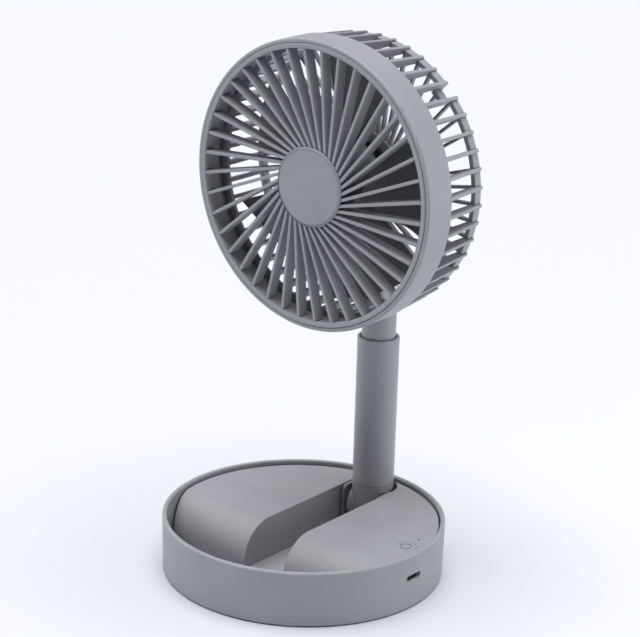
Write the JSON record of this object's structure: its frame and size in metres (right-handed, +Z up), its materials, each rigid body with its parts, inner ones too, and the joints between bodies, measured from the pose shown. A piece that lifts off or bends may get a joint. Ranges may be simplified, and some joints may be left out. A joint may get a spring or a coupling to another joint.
{
  "type": "folding desk fan",
  "caption": "Rechargeable desk fan: a caged round head hinged on a telescopic pole that folds down into a round slotted base.",
  "frame": {"origin": "on the table under the middle of the round base, with the fan standing and its pole pushed together", "axes": "+Z up along the pole; the fan blows towards -Y, its front; +X is the fan's left-hand side when it is seen from behind, which is the right-hand side seen from the front, where the button and the charging socket are"},
  "size_m": [0.151, 0.15, 0.2856],
  "materials": {
    "body_grey": "satin moulded",
    "cap_grey": "satin moulded",
    "knuckle_grey": "satin moulded",
    "bracket_grey": "satin moulded",
    "button_grey": "satin moulded",
    "tube_paint": "satin paint",
    "blade_dark": "satin moulded",
    "inner_plastic": "moulded",
    "washer_nylon": "moulded",
    "foot_rubber": "matte",
    "pin_steel": "ground",
    "screw_steel": "plated",
    "socket_steel": "pressed and plated",
    "ballast_iron": "as cast",
    "cell_sleeve": "shrink sleeve",
    "circuit_board": "lacquered",
    "winding_copper": "enamelled wire",
    "light_pipe": "polished"
  },
  "bodies": {
    "base": {"base_shell": "body_grey", "base_deck": "body_grey", "rubber_feet": "foot_rubber", "hinge_bracket": "bracket_grey", "base_hinge_pin": "pin_steel", "hinge_washers": "washer_nylon", "base_screws": "screw_steel", "battery_cells": "cell_sleeve", "battery_cradle": "inner_plastic", "ballast_plate": "ballast_iron", "control_board": "circuit_board", "board_screws": "screw_steel", "usb_socket": "socket_steel", "tact_switch": "inner_plastic", "status_light": "light_pipe"},
    "button": {"power_button": "button_grey", "switch_plunger": "washer_nylon"},
    "lower_pole": {"pole_knuckle": "knuckle_grey", "outer_tube": "tube_paint", "tube_collar": "washer_nylon"},
    "upper_pole": {"foot_bush": "washer_nylon", "inner_tube": "tube_paint", "head_knuckle": "knuckle_grey"},
    "head": {"head_hinge_pin": "pin_steel", "head_washers": "washer_nylon", "head_band": "body_grey", "side_ribs": "body_grey", "rear_ring": "body_grey", "rear_spokes": "body_grey", "cage_hub": "body_grey", "motor_base": "inner_plastic", "motor_screws": "screw_steel", "motor_bearings": "pin_steel", "motor_stator": "winding_copper", "motor_board": "circuit_board"},
    "front_grille": {"grille_ring": "body_grey", "grille_ribs": "body_grey", "grille_hub": "body_grey", "hub_cap": "cap_grey"},
    "rotor": {"rotor_bell": "socket_steel", "magnet_ring": "ballast_iron", "motor_shaft": "pin_steel", "shaft_nut": "screw_steel", "impeller": "blade_dark"}
  },
  "joints": [
    {"name": "pole_fold", "type": "hinge", "parent": "base", "child": "lower_pole", "pos_m": [0, 0.0594, 0.0165], "axis": [1, 0, 0], "range_deg": [0, 90]},
    {"name": "pole_slide", "type": "slide", "parent": "lower_pole", "child": "upper_pole", "axis": [0, 0, -1], "range_m": [-0.054, 0]},
    {"name": "head_tilt", "type": "hinge", "parent": "upper_pole", "child": "head", "pos_m": [0, 0.0594, 0.1425], "axis": [1, 0, 0], "range_deg": [-180, 0]},
    {"name": "grille_turn", "type": "hinge", "parent": "head", "child": "front_grille", "pos_m": [0, 0, 0.2101], "axis": [0, -1, 0], "range_deg": [0, 12]},
    {"name": "fan_spin", "type": "hinge", "parent": "head", "child": "rotor", "pos_m": [0, 0.0207, 0.2101], "axis": [0, 1, 0], "continuous": true},
    {"name": "button_press", "type": "slide", "parent": "base", "child": "button", "axis": [0, 0, -1], "range_m": [0, 0.0005], "stiffness_N_per_m": 1500}
  ],
  "couplings": [
    {"joint": "head_tilt", "follows": "pole_fold", "ratio": -2}
  ]
}
